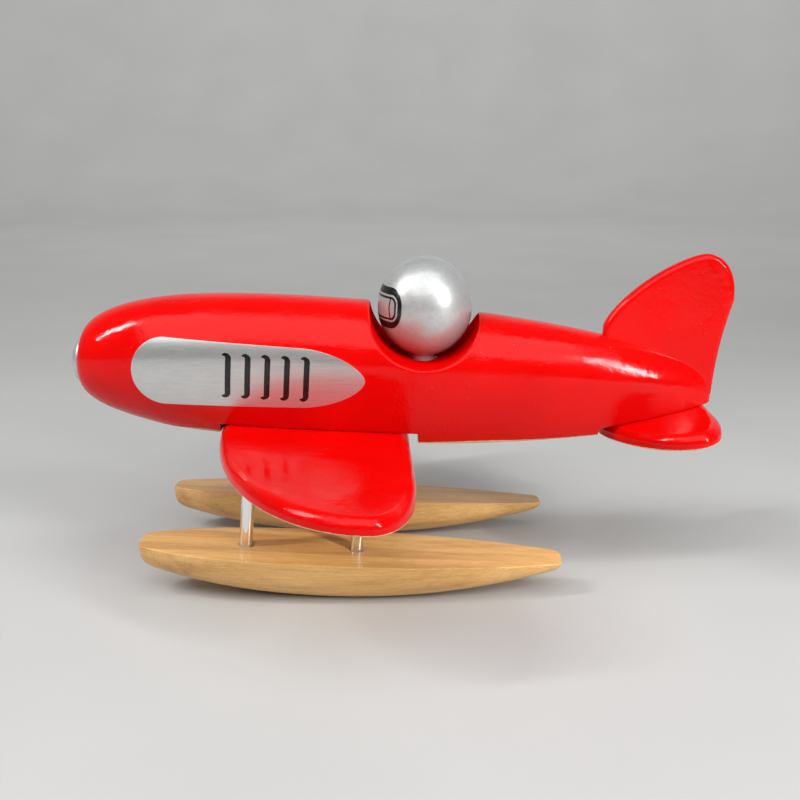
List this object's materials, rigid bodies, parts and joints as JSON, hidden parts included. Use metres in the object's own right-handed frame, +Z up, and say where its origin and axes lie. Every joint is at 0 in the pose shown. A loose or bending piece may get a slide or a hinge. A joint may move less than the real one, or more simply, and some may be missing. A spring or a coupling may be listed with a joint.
{
  "type": "toy seaplane",
  "caption": "Wooden toy seaplane with a rounded lacquered body, a turning ball-headed pilot and two varnished floats hung from the wing on chromed rods.",
  "frame": {"origin": "on the floor under the middle of the toy's length", "axes": "+Z up, the nose points along -X, the wing's span lies along Y; the craft stands 2.6 degrees nose up on its rockered keels"},
  "size_m": [0.2724, 0.228, 0.1327],
  "materials": {
    "red_lacquer": "gloss red lacquer over wood",
    "silver_paint": "satin silver paint over wood",
    "varnished_wood": "satin clear varnish",
    "chrome_rod": "polished",
    "zinc_screw": "zinc plated"
  },
  "bodies": {
    "airframe": {"fuselage": "red_lacquer", "nose_cap": "silver_paint", "wing": "red_lacquer", "stabilizer": "red_lacquer", "fin": "red_lacquer", "float_left": "varnished_wood", "float_right": "varnished_wood", "strut_front_left": "chrome_rod", "strut_rear_left": "chrome_rod", "strut_front_right": "chrome_rod", "strut_rear_right": "chrome_rod", "wing_screws": "zinc_screw", "stabilizer_screws": "zinc_screw"},
    "pilot": {"pilot_head": "silver_paint", "neck_peg": "silver_paint"}
  },
  "joints": [
    {"name": "head_turn", "type": "hinge", "parent": "airframe", "child": "pilot", "pos_m": [0.00898, 0, 0.09737], "axis": [0.0454, 0, 0.999], "continuous": true}
  ]
}
